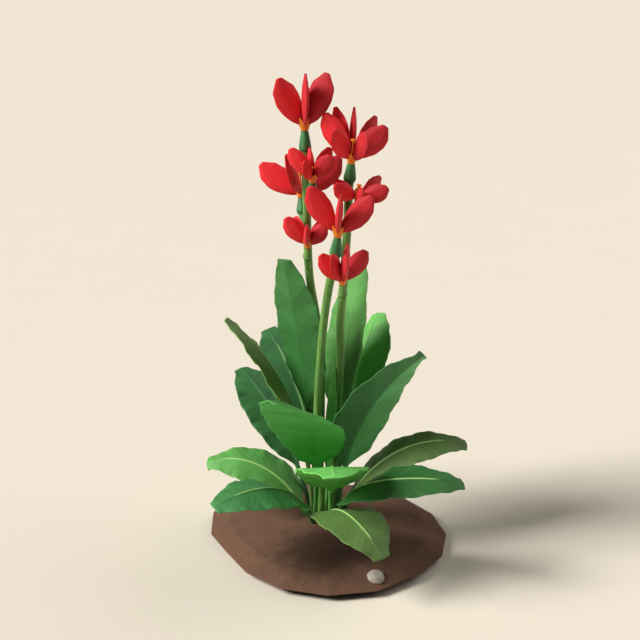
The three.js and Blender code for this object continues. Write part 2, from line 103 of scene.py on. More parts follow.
STEMS = {
    "left": [(-0.013, 0.012, 0.0149), (-0.014, 0.013, 0.12), (-0.012, 0.013, 0.249), (-0.014, 0.015, 0.336),
             (-0.02, 0.018, 0.393), (-0.03, 0.02, 0.456), (-0.033, 0.02, 0.51), (-0.0345, 0.016, 0.59)],
    "right": [(0.0015, 0.012, 0.0149), (0.008, 0.007, 0.11), (0.014, 0.001, 0.219),
              (0.019, -0.009, 0.328), (0.019, -0.015, 0.398), (0.023, -0.014, 0.455),
              (0.028, -0.012, 0.532), (0.03, -0.0105, 0.58)],
    "front": [(-0.006, -0.0006, 0.0149), (-0.013, -0.0095, 0.11), (-0.018, -0.018, 0.23),
              (-0.013, -0.023, 0.332), (-0.006, -0.029, 0.412), (0.002, -0.038, 0.467)],
}
# Each bract's stem, height, direction and length.
BRACTS = [("left", 0.492, 180, 0.014), ("right", 0.447, 190, 0.024)]

PETAL = {"tip": 0.0055, "root": 0.0024, "edge": 0.0016, "foot": 0.009, "set": 0.002, "widest": 0.6,
         "steps": 5}
BLOOM_FIELDS = ("name", "stem", "base", "lean", "size", "width", "splay", "curl", "ovary", "petals")
BLOOMS = [dict(zip(BLOOM_FIELDS, row)) for row in (
    ("bloom_1", "left", (-0.0371, 0.018, 0.6911), (101.4, 8.1), 0.0817, 0.52, 26.1, 20.3, 1,
     [(-155, 0.99), (-84, 1.06), (-32, 1.07), (83, 0.94), (170, 0.91)]),
    ("bloom_2", "right", (0.0339, -0.016, 0.6481), (292.3, 11.7), 0.0749, 0.52, 35.8, 20.4, 1,
     [(-136, 0.89), (-68, 0.92), (-14, 0.97), (46, 0.96), (91, 1.05), (126, 1.07), (157, 1.02)]),
    ("bloom_3", "left", (-0.0254, -0.012, 0.6179), (270, 16.9), 0.0502, 0.56, 32, 14.9, 0.8,
     [(-115, 0.95), (-21, 1), (30, 1.02), (99, 0.87), (168, 1.09)]),
    ("bloom_4", "left", (-0.0433, 0.046, 0.5796), (100.7, 18.4), 0.0786, 0.53, 48, 15.3, 0.8,
     [(-177, 0.98), (-107, 1.04), (0, 1.05), (98, 1.01), (140, 0.91)]),
    ("bloom_5", "right", (0.044, -0.029, 0.592), (334.3, 4.7), 0.0505, 0.6, 59.9, 39.6, 0.8,
     [(-147, 0.93), (-84, 0.84), (-26, 0.98), (48, 1.07), (160, 0.81)]),
    ("bloom_6", "front", (0.0131, -0.053, 0.5411), (334.1, 6.5), 0.0791, 0.45, 34, 17.8, 1,
     [(-170, 1.05), (-95, 1.09), (-30, 1.03), (92, 0.7)]),
    ("bloom_7", "left", (-0.0329, -0.004, 0.5118), (278.7, 10), 0.0491, 0.57, 34.9, 10.9, 0.6,
     [(-177, 1.1), (-94, 1.08), (-28, 0.97), (31, 0.89), (135, 0.92)]),
    ("bloom_8", "right", (0.0208, -0.062, 0.4685), (171.4, 0.7), 0.0574, 0.54, 35.3, 12.2, 0.6,
     [(-160, 0.95), (-116, 1.04), (-82, 1.06), (5, 0.99), (75, 1.02)]),
)]
OVARY = [(0.0058, 0), (0.0072, 0.008), (0.0099, 0.025), (0.0091, 0.029), (0.0062, 0.032)]
THROAT = {"foot": 0.0055, "rim": 0.0125, "wall": 0.0012, "floor": 0.0035, "valley": 0.009, "tooth": 0.021,
          "flare": 0.0012}
STAMEN = {"radius": 0.001, "flare": 0.0042, "length": 0.008, "reach": 0.5}

# ---- Measures of the finer forms ----
LEAF_FACTS = ("across", "along", "share", "side", "upper", "turn")
RIB_STEPS = 3
HALF_STEPS = 15
BLADE_STEPS = 96
STALK_STEPS = 14
# The height of a blade's broad waves, how many half waves of each kind it has, and how high the fine ones
# are beside the broad ones.
RIPPLE = 0.0016
WAVES = {"broad": 9, "fine": 23, "share": 0.38}
# How far a blade's rounded rim stands out from its two faces.
RIM = 0.0004
# A side vein's way back from its start, by its distance from the midrib and by the square of it.
VEIN_SLANT = 0.75
VEIN_CURVE = 5.0
PETAL_STEPS = 30
# Over what share of their length the straight pieces of an outline are eased into each other.
EASE = {"blade": 0.016, "petal_line": 0.05, "petal_rim": 0.012, "petal_depth": 0.08, "ovary": 0.05,
        "soil": 0.008}
PETAL_RIM = [(1, 0), (0.45, 1), (-0.45, 1), (-1, 0), (-0.45, -1), (0.45, -1)]
# The hub that joins a bloom's petals: its height, and its radii from the foot up.
HUB = {"height": 0.011, "radii": (0.0034, 0.005, 0.0034, 0.002)}
# The short piece of stem under an ovary, which runs along its bloom's axis.
NECK = 0.009
# How far under its end a branch leaves its stem, and how much thinner and thicker than its set radius it is
# at its start and end.
BRANCH = {"drop": 0.018, "thinner": 0.0007, "thicker": 0.0003}
RIDGES = {"count": 7, "height": 0.03}
BRACT = {"rise": 76, "wide": 0.26, "out": 0.0042, "cup": 0.0026, "thick": 0.0012, "edge": 0.0002}
# The soil's grain starts over the bevel of its rim and is full a little higher. No crumb lies under that
# start, in the middle of the crown or on the pebble.
GRAIN = {"from": 0.012, "fade": 0.004, "crown": 0.012, "pebble": 0.016}
# The pebble's worn edges, and the height, offset and fineness of its rough skin.
PEBBLE = {"bevel": 0.0003, "rough": 0.0003, "worn": 0.0001, "fine": 160}
FLOOR = {"reach": 150.0, "level": -0.0006}
# Each light's name, its strength in the settings, its width in degrees, the way it shines, and its tint.
LIGHTS = [("key_light", "key", 26, (1.0, 0.22, -0.78), (1.0, 0.99, 0.97)),
          ("side_light", "side", 70, (-0.75, -0.35, -0.5), (1.0, 0.99, 0.98))]
CAMERA = {"place": (-0.0136, -1.89, 1.006), "tilt": 72, "lens": 70, "sensor": 36}


# ---- Sizes and colours that a user may change ----
def number(name, description, default, **limits):
    return bpy.props.FloatProperty(name=name, description=description, default=default, **limits)


def measure(name, description, default, low, high):
    """A length in metres, with its least and its largest value."""
    return number(name, description, default, min=low, max=high, unit="LENGTH")


def colour(name, description, code):
    """A colour property from its hexadecimal display code."""
    return bpy.props.FloatVectorProperty(
        name=name, description=description, default=linear(code), subtype="COLOR", size=3, min=0, max=1)


def linear(code):
    """The linear colour of a hexadecimal display code."""
    parts = [int(code[i:i + 2], 16) / 255 for i in (0, 2, 4)]
    return tuple(c / 12.92 if c <= 0.04045 else ((c + 0.055) / 1.055) ** 2.4 for c in parts)


class CannaLeafSettings(bpy.types.PropertyGroup):
    # The four greens and each leaf's lightness differ partly in the leaves' own tone and partly by painted
    # light and shade.
    bright: colour("Bright green", "Green of the sunlit leaves", "62a852")
    deep: colour("Deep green", "Green of the grown leaves", "428a40")
    blue: colour("Cool green", "Green of the inner leaves", "417d47")
    olive: colour("Olive green", "Green of the old leaves", "59773c")
    rib: colour("Midrib", "Pale green of a midrib", "b4e487")
    thickness: measure("Thickness", "Thickness of a blade at its midrib", 0.003, 0.0005, 0.004)
    rib_height: measure("Rib height", "How far a midrib stands over its blade", 0.0018, 0, 0.003)
    vein_gap: measure("Vein spacing", "Distance between two side veins", 0.013, 0.004, 0.04)
    vein_depth: measure("Vein depth", "Depth of the furrows between side veins", 0.0002, 0, 0.001)


class CannaBloomSettings(bpy.types.PropertyGroup):
    petal: colour("Petal", "Red of the petals", "e92e35")
    petal_base: colour("Petal base", "Darker red at the foot of a petal", "a81f27")
    throat: colour("Throat", "Orange of the throat and stamen", "ee8a1e")
    ovary: colour("Ovary", "Green of the swelling under a bloom", "3a7a44")
    thickness: measure("Petal thickness", "Thickness of a petal in its middle", 0.011, 0.004, 0.012)
    wart: measure("Wart size", "Radius of the warts on an ovary", 0.00045, 0.0001, 0.001)
    warts: number("Wart density", "Warts on each square metre of an ovary", 110000, min=0)


class CannaStemSettings(bpy.types.PropertyGroup):
    green: colour("Stem", "Green of the flower stems", "659446")
    foot: measure("Foot radius", "Radius of a flower stem in the soil", 0.0066, 0.004, 0.007)
    top: measure("Top radius", "Radius of a flower stem under its bloom", 0.0067, 0.004, 0.007)
    branch: measure("Branch radius", "Radius of a side branch", 0.0053, 0.003, 0.006)
    sides: bpy.props.IntProperty(name="Sides", description="Sides of a stem's section", default=14, min=6)


class CannaSoilSettings(bpy.types.PropertyGroup):
    soil: colour("Soil", "Brown of the soil", "705242")
    stone: colour("Stone", "Grey of the pebble", "a89f94")
    grain: measure("Grain", "Height of the soil's unevenness", 0.00035, 0, 0.003)
    crumb: measure("Crumb size", "Radius of a crumb of soil", 0.0009, 0.0003, 0.003)
    crumbs: number("Crumb density", "Crumbs on each square metre of soil", 3500, min=0)


class CannaStageSettings(bpy.types.PropertyGroup):
    floor: colour("Floor", "Cream of the floor", "ede3d2")
    key: number("Key light", "Strength of the main light", 4.2, min=0)
    side: number("Side light", "Strength of the light from the right", 1.2, min=0)
    fill: number("Fill", "Strength of the light from all round", 0.05, min=0)


GROUPS = {"leaves": CannaLeafSettings, "blooms": CannaBloomSettings, "stems": CannaStemSettings,
          "soil": CannaSoilSettings, "stage": CannaStageSettings}


def settings(context, group):
    return getattr(context.scene, "canna_" + group)


# ---- Node trees as expressions ----
class Socket:
    """A node's output that adds Math nodes to its tree when it is used in an expression."""

    def __init__(self, graph, link):
        self.graph, self.link = graph, link

    def math(self, operation, *values):
        return self.graph.add("ShaderNodeMath", {"operation": operation}, dict(enumerate(values)))

    def __add__(self, other):
        return self.math("ADD", self, other)

    def __sub__(self, other):
        return self.math("SUBTRACT", self, other)

    def __rsub__(self, other):
        return self.math("SUBTRACT", other, self)

    def __mul__(self, other):
        return self.math("MULTIPLY", self, other)

    def __truediv__(self, other):
        return self.math("DIVIDE", self, other)

    def __pow__(self, other):
        return self.math("POWER", self, other)

    __radd__, __rmul__ = __add__, __mul__

    def abs(self):
        return self.math("ABSOLUTE", self)

    def fraction(self):
        return self.math("FRACT", self)

    def ramp(self, low, high, start=0.0, end=1.0):
        """Goes smoothly from start to end while this goes from low to high."""
        if low > high:
            low, high, start, end = high, low, end, start
        limits = {"Value": self, "From Min": low, "From Max": high, "To Min": start, "To Max": end}
        return self.graph.add("ShaderNodeMapRange", {"interpolation_type": "SMOOTHSTEP"}, limits)


class Graph:
    """Adds nodes to a shader tree or a geometry tree."""

    def __init__(self, tree):
        self.tree = tree
        tree.nodes.clear()

    def add(self, kind, options=None, inputs=None, output=0):
        """A new node with its settings, then its socket values or links. Gives one of its outputs."""
        node = self.tree.nodes.new(kind)
        for key, value in (options or {}).items():
            setattr(node, key, value)
        for key, value in (inputs or {}).items():
            if isinstance(value, Socket):
                self.tree.links.new(value.link, node.inputs[key])
            else:
                node.inputs[key].default_value = value
        return Socket(self, node.outputs[output]) if node.outputs else None

    def mix(self, share, one, other, blend="MIX"):
        """Colour `one` at share 0, and `other` at share 1."""
        return self.add("ShaderNodeMix", {"data_type": "RGBA", "blend_type": blend},
                        {0: share, 6: rgba(one), 7: rgba(other)}, 2)

    def between(self, share, hue, low, high):
        """A colour times `low` at share 0, and times `high` at share 1."""
        return self.mix(share, toned(hue, low), toned(hue, high))

    def layers(self, base, hue, *rows):
        """Lays tones of one colour over a base. A row holds a share, then one factor or three."""
        for share, *factors in rows:
            base = self.mix(share, base, toned(hue, *factors))
        return base

    def tint(self, share, base, factors):
        """Multiplies a base by three factors where the share is 1."""
        return self.mix(share, base, self.mix(1.0, base, factors, "MULTIPLY"))

    def attribute(self, name):
        return self.add("ShaderNodeAttribute", {"attribute_name": name}, output="Fac")

    def place(self, scale=(1, 1, 1)):
        """Where a point lies in the piece's own space."""
        here = self.add("ShaderNodeTexCoord", output="Object")
        return self.add("ShaderNodeMapping", {}, {"Vector": here, "Scale": scale})

    def vector(self, x, y, z):
        return self.add("ShaderNodeCombineXYZ", {}, {0: x, 1: y, 2: z})

    def noise(self, vector, scale, detail, rough=0.5):
        return self.add("ShaderNodeTexNoise", {},
                        {"Vector": vector, "Scale": scale, "Detail": detail, "Roughness": rough})

    def surface(self, base, roughness, specular, height, depth):
        """Closes a shader tree with one surface. `height` is in shares of `depth` metres."""
        relief = self.add("ShaderNodeBump", {}, {"Height": height, "Distance": depth, "Strength": 1.0})
        closed = self.add("ShaderNodeBsdfPrincipled", {}, {
            "Base Color": base, "Roughness": roughness, "Specular IOR Level": specular, "Normal": relief})
        self.add("ShaderNodeOutputMaterial", {}, {"Surface": closed})


def rgba(value):
    return value if isinstance(value, Socket) else (*value, 1.0)


def toned(hue, *factors):
    """A colour times one factor, or with its red, green and blue each times their own."""
    return tuple(min(1, part * factor) for part, factor in zip(hue, factors * (4 - len(factors))))


def new_finish(name):
    material = bpy.data.materials.new(name)
    material.use_nodes = True
    return material, Graph(material.node_tree)


# ---- Finishes ----
def leaf_finish(name, green, bold, half, leaf):
    """Green with a midrib, arched side veins, streaks that run with them and soft blotches, a lighter
    underside that is partly painted light, and one half lighter by painted light where a leaf asks for it.
    """
    material, g = new_finish(name)
    across, along, share, side, upper, turn = (g.attribute(fact) for fact in LEAF_FACTS)
    far = across.abs()
    course = along - far * VEIN_SLANT - far * far * VEIN_CURVE
    ripple = g.noise(g.place(), 28, 2) - 0.5
    furrow, thin = [(((course + ripple * sway) / gap).fraction() - 0.5).abs() * 2.0
                    for sway, gap in ((0.003, leaf.vein_gap), (0.002, leaf.vein_gap / 6))]
    own = g.add("ShaderNodeObjectInfo", output="Random")
    streak = g.noise(g.vector(course * 60.0, far * 9.0, own), 1, 3)
    blotch = g.noise(g.place(), 11, 3)
    base = g.between(streak.ramp(0.3, 0.7), green, 0.8, 1.2)
    base = g.mix(0.5, base, green)
    # Undersides lighter: partly the paler underside a leaf has, and partly painted light standing in for
    # light shining through the blade.
    base = g.tint(1.0 - upper, base, (1.35, 1.3, 1.35))
    # Painted light: one half of the blade made lighter, as where light falls on one side of a folded leaf.
    base = g.tint(across.ramp(-0.004, 0.004), base, (half, half, half))
    base = g.layers(base, green, (blotch.ramp(0.45, 0.75) * 0.3, 1.25, 1.15, 0.8),
                    (furrow.ramp(0.86, 1.0) * upper * 0.2, 1.6), (thin.ramp(0.7, 1.0) * 0.1, 1.5),
                    (side.ramp(0.965, 1.0) * 0.3, 1.5))
    width = share.ramp(0.05, 0.9, 0.003, 0.0014)
    ends = share.ramp(0.86, 0.8) * share.ramp(0.0, 0.06)
    rib = (far / width).ramp(1.0, 0.72) * ends * upper
    base = g.mix(rib * (0.08 + 0.84 * bold), base, leaf.rib)
    stalk = share.ramp(0.0, -0.02)
    line = g.noise(g.vector(along * 5.0, turn * 9.0, 0.3), 1, 2).ramp(0.52, 0.66)
    base = g.layers(base, green, (stalk * 0.8, 0.4), (stalk * line * 0.28, 1.9, 1.6, 1.2))
    rough = 0.5 + blotch * 0.12 - rib * 0.08
    height = thin.ramp(0.4, 1.0) * 0.35 + g.noise(g.place(), 420, 2) * 0.45 + streak * 0.4
    g.surface(base, rough, 0.38, height, 0.00022)
    return material


def petal_finish(bloom):
    """Satin red, deeper at the foot, with fine veins that run out to the tip, and painted shade on the
    petals that point to the right, away from the key light.
    """
    material, g = new_finish("petal_red")
    across, share, west, turn = (g.attribute(fact) for fact in ("across", "share", "west", "turn"))
    vein = g.noise(g.vector(across * 7.0, share * 1.6, turn), 1, 3)
    blotch = g.noise(g.place(), 22, 3)
    base = g.between(vein.ramp(0.3, 0.7), bloom.petal, 0.93, 1.06)
    base = g.layers(base, bloom.petal, (blotch.ramp(0.4, 0.75) * 0.2, 0.83, 1.33, 1.17))
    # Painted shade: petals that point to the right, away from the key light, are darkened.
    base = g.tint(west.ramp(0.8, 0.1) * 0.9, base, (0.6, 0.7, 0.75))
    base = g.mix(share.ramp(0.34, 0.02) * 0.6, base, bloom.petal_base)
    height = vein * 0.6 + g.noise(g.place(), 600, 2) * 0.3
    g.surface(base, 0.56 + blotch * 0.14, 0.25, height, 0.00025)
    return material


def throat_finish(bloom):
    """Waxy orange with fine upright streaks, some of them redder, and paler clouds."""
    material, g = new_finish("throat_orange")
    streak = g.noise(g.place((330, 330, 40)), 1, 3)
    cloud = g.noise(g.place(), 90, 2)
    base = g.mix(streak.ramp(0.35, 0.7), toned(bloom.throat, 0.88, 0.7, 0.6), bloom.throat)
    base = g.layers(base, bloom.throat, (cloud.ramp(0.5, 0.8) * 0.3, 1.1, 1.5, 1.6))
    g.surface(base, 0.44 + streak * 0.12, 0.45, streak, 0.0003)
    return material


def stem_finish(name, green, grain=1.0):
    """Smooth green with long pale fibres and darker clouds."""
    material, g = new_finish(name)
    fibre = g.noise(g.place((360 * grain, 360 * grain, 9)), 1, 3)
    cloud = g.noise(g.place((30, 30, 14)), 1, 3)
    base = g.between(fibre.ramp(0.35, 0.7), green, 0.76, 1.3)
    base = g.layers(base, green, (cloud.ramp(0.5, 0.8) * 0.4, 1.35, 1.1, 0.75))
    height = fibre * 0.7 + g.noise(g.place(), 500, 2) * 0.3
    g.surface(base, 0.46 + cloud * 0.14, 0.4, height, 0.0003)
    return material


def soil_finish(soil):
    """Matt crumbly earth with pale grains, and painted shade: a painted shadow before the crown, and
    painted shade on the right and at the rim's foot.
    """
    material, g = new_finish("soil_brown")
    clod, crumb = g.noise(g.place(), 38, 5, 0.6), g.noise(g.place(), 240, 4, 0.65)
    cell = g.add("ShaderNodeTexVoronoi", {"feature": "F1"}, {"Vector": g.place(), "Scale": 330.0})
    pale = g.noise(g.place(), 520, 1)
    east, north, level = (g.add("ShaderNodeSeparateXYZ", {}, {0: g.place()}, part) for part in range(3))
    # Painted shadow: a dark patch of soil before the crown, where the front leaves shade it.
    painted_shadow_patch = ((east * 0.8) ** 2 + (north + 0.1) ** 2) ** 0.5 + (clod - 0.5) * 0.05
    base = g.between(clod.ramp(0.3, 0.7), soil.soil, 0.93, 1.06)
    # Of these tones, the painted shadow before the crown, the darker right side and the dark foot of the
    # rim are painted shade.
    base = g.layers(base, soil.soil, (crumb.ramp(0.55, 0.3) * 0.18, 0.6), (pale.ramp(0.7, 0.78) * 0.3, 1.7),
                    (painted_shadow_patch.ramp(0.105, 0.03) * 0.85, 0.25), (east.ramp(0.05, 0.17) * 0.15, 0.45),
                    (level.ramp(0.0105, 0.0085) * 0.9, 0.12))
    g.surface(base, 0.9 + crumb * 0.08, 0.15, clod * 0.5 + crumb * 0.7 + cell * 0.5, 0.0005)
    return material


def stone_finish(soil):
    """Pale weathered stone with dark and light specks."""
    material, g = new_finish("pebble_grey")
    cloud, speck = g.noise(g.place(), 70, 4), g.noise(g.place(), 900, 2)
    base = g.between(cloud.ramp(0.35, 0.7), soil.stone, 0.82, 1.2)
    base = g.layers(base, soil.stone, (speck.ramp(0.62, 0.7) * 0.6, 0.45),
                    (speck.ramp(0.36, 0.3) * 0.5, 1.6))
    g.surface(base, 0.72 + cloud * 0.15, 0.35, cloud + speck * 0.5, 0.0008)
    return material


def floor_finish(cream):
    material, g = new_finish("floor_cream")
    cloud = g.noise(g.place(), 3, 2)
    base = g.between(cloud.ramp(0.3, 0.7), cream, 0.995, 1.0)
    g.surface(base, 0.9, 0.1, cloud, 0.0001)
    return material


# ---- Forms ----
def heading(azimuth, rise):
    """The unit vectors of azimuths and rises in degrees."""
    a, e = np.radians(azimuth), np.radians(rise)
    return np.stack(np.broadcast_arrays(np.cos(e) * np.cos(a), np.cos(e) * np.sin(a), np.sin(e)), -1)


def swell(v, widest, power):
    """Rises from 0 to 1 and falls back, largest at the share `widest` of the way."""
    bent = np.clip(v, 0, 1) ** (math.log(0.5) / math.log(widest))
    return np.clip(np.sin(np.pi * bent), 0, 1) ** power


def smoothstep(low, high, value):
    t = np.clip((value - low) / (high - low), 0, 1)
    return t * t * (3 - 2 * t)


def soft_corners(v, places, values, reach):
    """Straight lines through the values, with their corners rounded over `reach`."""
    shifts = np.linspace(-reach, reach, 5)
    ends = np.clip(v[:, None] + shifts, places[0], places[-1])
    return np.interp(ends, places, values).mean(axis=1)


def rounded_polygon(corners, each, passes):
    """Points round a closed polygon, with its corners eased."""
    corners = np.array(corners, float)
    ahead = np.roll(corners, -1, axis=0)
    steps = np.linspace(0, 1, each, endpoint=False)[None, :, None]
    points = (corners[:, None] + (ahead - corners)[:, None] * steps).reshape(-1, 2)
    for _ in range(passes):
        points = (np.roll(points, 1, axis=0) + 2 * points + np.roll(points, -1, axis=0)) / 4
    return points * (np.abs(corners).max(axis=0) / np.abs(points).max(axis=0))


def link(name, data):
    """A new object in the scene."""
    thing = bpy.data.objects.new(name, data)
    bpy.context.collection.objects.link(thing)
    return thing


def make_piece(name, points, faces, finish, facts=None, edges=()):
    """A mesh object from points and faces, with a number for each point by each fact's name."""
    mesh = bpy.data.meshes.new(name)
    mesh.from_pydata([tuple(p) for p in points], edges, [tuple(f) for f in faces])
    for key, values in (facts or {}).items():
        mesh.attributes.new(key, "FLOAT", "POINT").data.foreach_set("value", np.asarray(values, np.float32))
    mesh.validate()
    mesh.shade_smooth()
    mesh.materials.append(finish)
    return link(name, mesh)


def finish_only(piece, finish):
    piece.data.materials.clear()
    piece.data.materials.append(finish)
    return piece


def with_forms(piece, forms, finish):
    """Adds closed forms to a piece's mesh and makes all its faces point outwards."""
    work = bmesh.new()
    work.from_mesh(piece.data)
    for points, faces, _ in forms:
        corners = [work.verts.new(p) for p in points]
        for face in faces:
            work.faces.new([corners[i] for i in face]).smooth = True
    bmesh.ops.recalc_face_normals(work, faces=work.faces)
    work.to_mesh(piece.data)
    work.free()
    return finish_only(piece, finish)


def declare(piece, slot, *nodes):
    """Puts a finished piece in the frame in place of its plain solids."""
    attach(piece, "root")
    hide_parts(*nodes)


def skin(rings):
    """Faces of a closed skin over rings of points, with a point in the middle of both ends."""
    count, around = len(rings), rings.shape[1]
    k = np.arange(around)
    n = (k + 1) % around
    faces = []
    for a in range(0, (count - 1) * around, around):
        b = a + around
        faces += zip(a + k, a + n, b + n, b + k)
    foot, last = count * around, (count - 1) * around
    faces += zip(np.full(around, foot), n, k)
    faces += zip(np.full(around, foot + 1), last + k, last + n)
    points = np.concatenate([rings.reshape(-1, 3), [rings[0].mean(axis=0)], [rings[-1].mean(axis=0)]])
    return points, faces


# ---- Leaves ----
class Midrib:
    """A leaf's middle line, and the directions across it and up from it."""

    def __init__(self, leaf):
        self.leaf, self.total, steps = leaf, leaf["stalk"] + leaf["length"], 240
        shares = (np.arange(steps) + 0.5) / steps
        lift = STALK_RADIUS * abs(math.cos(math.radians(leaf["rise"])))
        foot = np.array([CROWN["x"], CROWN["y"], CROWN["floor"] + GAP + lift])
        foot = foot + heading(leaf["slot"], 0) * STALK_RING
        strides = heading(*self.angles(shares)) * self.total / steps
        self.points = np.vstack([foot, foot + np.cumsum(strides, axis=0)])

    def angles(self, share):
        """The azimuth and the rise at a share of the way."""
        leaf, bend = self.leaf, np.clip(share, 0, None) ** BEND
        return leaf["azimuth"] + leaf["sweep"] * bend, leaf["rise"] - leaf["arch"] * bend

    def at(self, lengths):
        """Points on the line, and the directions across and up there."""
        share = lengths / self.total
        place = np.linspace(0, 1, len(self.points))
        point = np.stack([np.interp(share, place, self.points[:, k]) for k in range(3)], -1)
        beyond = np.clip(lengths - self.total, 0, None)[:, None]
        azimuth, rise = self.angles(share)
        along, level = heading(azimuth, rise), heading(azimuth + 90, 0)
        upper = np.cross(along, level)
        turn = math.radians(self.leaf["roll"])
        across = level * math.cos(turn) + upper * math.sin(turn)
        up = upper * math.cos(turn) - level * math.sin(turn)
        return point + along * beyond, across, up


def blade_half_width(leaf, v):
    """Half the width of a blade, straight between its stations with eased corners."""
    stations = np.array(BLADE_STATIONS)
    least = np.where(stations > 0.5, BLADE["tip"] * leaf["width"], STALK_RADIUS)
    half = np.maximum(leaf["width"] / 2 * swell(stations, leaf["widest"], BLADE["fullness"]), least)
    return soft_corners(v, stations, half, EASE["blade"])


def blade_shares(w):
    """Places across one upper face from one rim to the other, as shares of the half width."""
    rib = min(BLADE["rib"], 0.4 * w) / w
    half = np.concatenate([np.linspace(0, rib, RIB_STEPS, endpoint=False), np.linspace(rib, 1, HALF_STEPS)])
    return np.concatenate([half[::-1], -half[1:]])


def leaf_rings(leaf, index, sizes):
    """The rings of a leaf's skin and what its finish needs to know at each point."""
    stalk = np.linspace(0, leaf["stalk"], STALK_STEPS, endpoint=False)
    v_blade = np.linspace(0, 1, BLADE_STEPS)
    lengths = np.concatenate([stalk, leaf["stalk"] + v_blade * leaf["length"]])
    v_all = (lengths - leaf["stalk"]) / leaf["length"]
    point, across, up = Midrib(leaf).at(lengths)
    half = blade_half_width(leaf, np.clip(v_all, 0, 1))
    fold, ripple = math.radians(leaf["fold"]), RIPPLE * min(1, leaf["width"] / 0.08)
    rings, facts = [], []
    for i, v in enumerate(v_all):
        w = half[i]
        s = blade_shares(w)
        x = s * w
        flat = float(smoothstep(-0.02, FLAT_FROM, v))
        body = sizes.thickness / 2 + (BLADE["edge"] - sizes.thickness) / 2 * np.abs(s) ** 1.5
        rib_share = np.clip(1 - (x / min(BLADE["rib"], 0.4 * w)) ** 2, 0, 1) ** 1.5
        rib = sizes.rib_height * rib_share * (1 - 0.7 * np.clip(v, 0, 1) ** 3)
        course = v * leaf["length"] - VEIN_SLANT * np.abs(x) - VEIN_CURVE * x * x
        furrow = np.cos(2 * np.pi * course / sizes.vein_gap) * smoothstep(0.06, 0.3, np.abs(s))
        furrow = furrow * sizes.vein_depth * smoothstep(0.04, 0.2, v) * smoothstep(1.0, 0.85, v)
        wave = ripple * math.sin(WAVES["broad"] * math.pi * v + index) * s * s * np.sign(s)
        flutter = np.sin(WAVES["fine"] * math.pi * v + index * 1.7 + np.sign(s)) * np.abs(s) ** 3
        flutter = flutter * ripple * WAVES["share"]
        sway = np.abs(x) * math.sin(fold) + wave + flutter + furrow
        turn = np.radians(90 - 70 * s)
        upper = section(x, body + rib + sway, turn, flat, fold)
        lower = section(x[::-1], (sway - body)[::-1], np.radians(270 + 70 * s[::-1]), flat, fold)
        left, right = (section(np.array([x_rim]), sway[end, None], np.array([angle]), flat, fold)
                       for x_rim, end, angle in ((-w - RIM, -1, math.pi), (w + RIM, 0, 0.0)))
        outline = np.concatenate([upper, left, lower, right])
        rings.append(point[i] + outline[:, :1] * across[i] + outline[:, 1:] * up[i])
        facts.append(leaf_facts(x, s, v, leaf["length"], len(outline)))
    return np.array(rings), facts


def section(x, y, turn, flat, fold):
    """Points across and up: round for the stalk, and flat for the blade."""
    wide = x * math.cos(fold) * flat + np.cos(turn) * STALK_RADIUS * (1 - flat)
    high = y * flat + np.sin(turn) * STALK_RADIUS * (1 - flat)
    return np.stack([wide, high], -1)


def leaf_facts(x, s, v, length, around):
    """The leaf facts of each point of a ring: metres across, metres along, share along, nearness to the
    rim, whether it is on the upper face, and turn round the leaf."""
    mirror = slice(None, None, -1)
    across = np.concatenate([x, x[-1:], x[mirror], x[:1]])
    near = np.abs(np.concatenate([s, s[-1:], s[mirror], s[:1]]))
    upper = np.concatenate([np.ones(len(x)), [0.5], np.zeros(len(x)), [0.5]])
    same = np.ones(around)
    return np.stack([across, same * v * length, same * v, near, upper, np.linspace(0, 1, around)])


def leaf_piece(leaf, index, sizes, finish):
    """A leaf whose last ring is drawn in twice towards its tip."""
    rings, facts = leaf_rings(leaf, index, sizes)
    last, tip = rings[-1], rings[-1].mean(axis=0)
    ahead = tip - rings[-2].mean(axis=0)
    ahead /= np.linalg.norm(ahead)
    for shrink, reach in ((0.86, 0.0009), (0.5, 0.0017)):
        rings = np.concatenate([rings, (tip + (last - tip) * shrink + ahead * reach)[None]])
        facts.append(facts[-1])
    points, faces = skin(rings)
    ends = [[0, fact[1][0], fact[2][0], 0, 0.5, 0.5] for fact in (facts[0], facts[-1])]
    facts = np.concatenate([np.stack(facts).transpose(1, 0, 2).reshape(len(LEAF_FACTS), -1),
                            np.stack(ends, -1)], axis=1)
    return make_piece(leaf["name"] + "_blade", points, faces, finish, dict(zip(LEAF_FACTS, facts)))


# ---- Blooms ----
def throat_scale(bloom):
    return math.sqrt(bloom["ovary"])


def bloom_axis(bloom):
    azimuth, angle = bloom["lean"]
    return Vector(heading(azimuth, 90 - angle))


